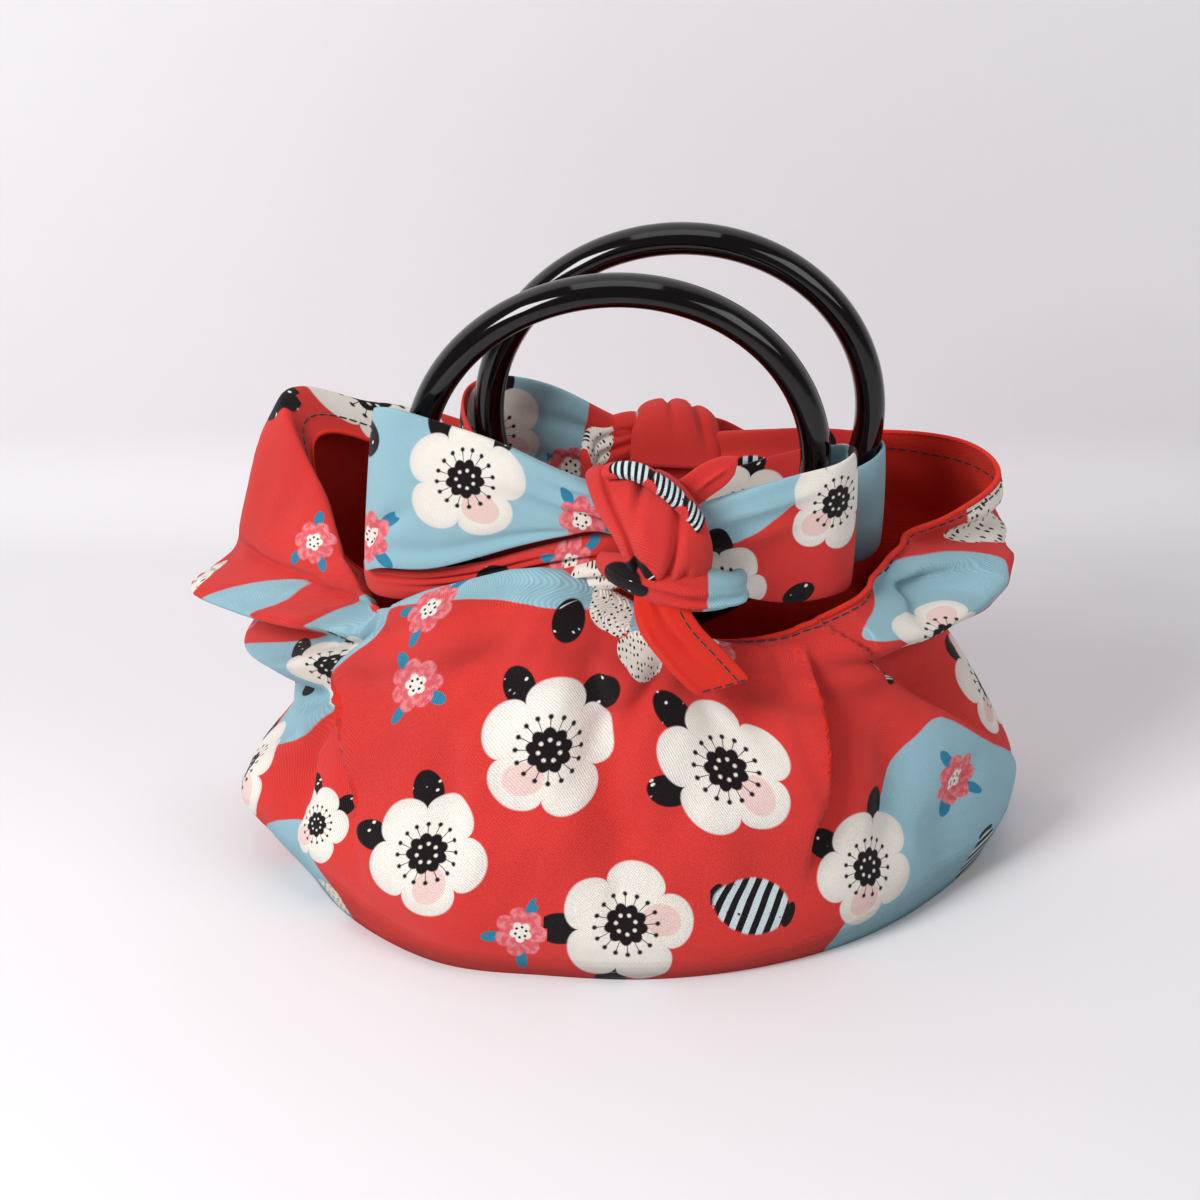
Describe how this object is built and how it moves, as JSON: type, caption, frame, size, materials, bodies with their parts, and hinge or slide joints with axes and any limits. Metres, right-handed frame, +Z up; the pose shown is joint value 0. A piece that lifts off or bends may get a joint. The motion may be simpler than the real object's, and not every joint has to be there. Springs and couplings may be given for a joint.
{
  "type": "furoshiki bag",
  "caption": "Soft bag folded from a square lined cloth, its corners taken through ring handles and knotted, open along the top.",
  "frame": {"origin": "middle of the bag's footprint on the floor", "axes": "+X to the bag's right as its front knot is faced, +Y towards its back, +Z up"},
  "size_m": [0.3116, 0.1904, 0.2432],
  "materials": {
    "printed_cotton": "matt printed cotton twill in red, light blue and cream",
    "plain_red_cotton": "matt plain red cotton",
    "black_gloss_plastic": "black gloss"
  },
  "bodies": {
    "root": {"printed_cloth": "printed_cotton", "lining": "plain_red_cotton", "front_tied_corners": "printed_cotton", "back_tied_corners": "printed_cotton", "front_ring": "black_gloss_plastic", "back_ring": "black_gloss_plastic"}
  },
  "joints": []
}
